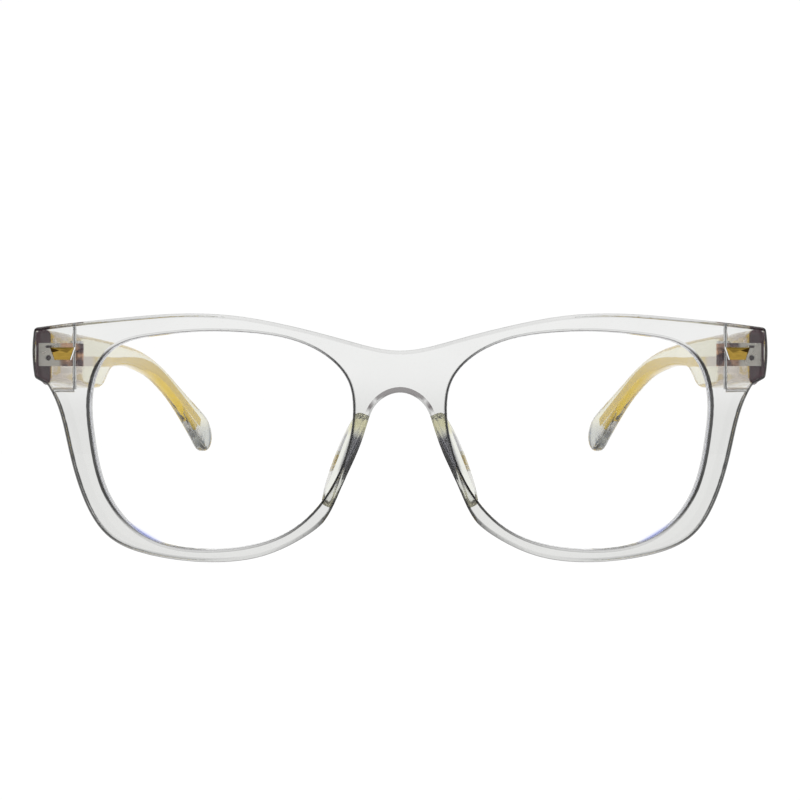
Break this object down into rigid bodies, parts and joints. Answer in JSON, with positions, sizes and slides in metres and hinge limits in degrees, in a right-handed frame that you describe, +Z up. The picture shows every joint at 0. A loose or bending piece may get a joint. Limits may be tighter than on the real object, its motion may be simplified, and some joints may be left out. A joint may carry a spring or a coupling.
{
  "type": "blue light glasses",
  "caption": "Clear full-rim glasses with blue-filter lenses, gold studs and folding wire-core temples, worn to soften screen light.",
  "frame": {"origin": "on the ground under the middle of the whole object, at the level of the lowest point of the rims", "axes": "+Z up, +X to the wearer's left, the front faces -Y and the open temples run towards +Y"},
  "size_m": [0.1434, 0.1617, 0.0477],
  "materials": {
    "clear_acetate": "clear polished plastic",
    "temple_acetate": "clear polished plastic, faintly cream",
    "clear_pad": "clear polished plastic",
    "lens": "clear plastic with a blue-violet reflecting coating",
    "gold": "polished gold plate",
    "gold_wire": "bright gold wire",
    "hinge_steel": "satin nickel",
    "screw_steel": "satin"
  },
  "bodies": {
    "front": {"front_frame": "clear_acetate", "lens_left": "lens", "lens_right": "lens", "nose_pad_left": "clear_pad", "nose_pad_right": "clear_pad", "front_stud_left": "gold", "front_stud_right": "gold", "front_hinge_left": "hinge_steel", "front_hinge_right": "hinge_steel", "hinge_screw_left": "screw_steel", "hinge_screw_right": "screw_steel"},
    "left_arm": {"temple_left": "temple_acetate", "temple_core_left": "gold_wire", "temple_hinge_left": "hinge_steel"},
    "right_arm": {"temple_right": "temple_acetate", "temple_core_right": "gold_wire", "temple_hinge_right": "hinge_steel"}
  },
  "joints": [
    {"name": "left_temple_fold", "type": "hinge", "parent": "front", "child": "left_arm", "pos_m": [0.06375, -0.06475, 0.04005], "axis": [0, 0, 1], "range_deg": [0, 88]},
    {"name": "right_temple_fold", "type": "hinge", "parent": "front", "child": "right_arm", "pos_m": [-0.06375, -0.06475, 0.04005], "axis": [0, 0, -1], "range_deg": [0, 80]}
  ]
}
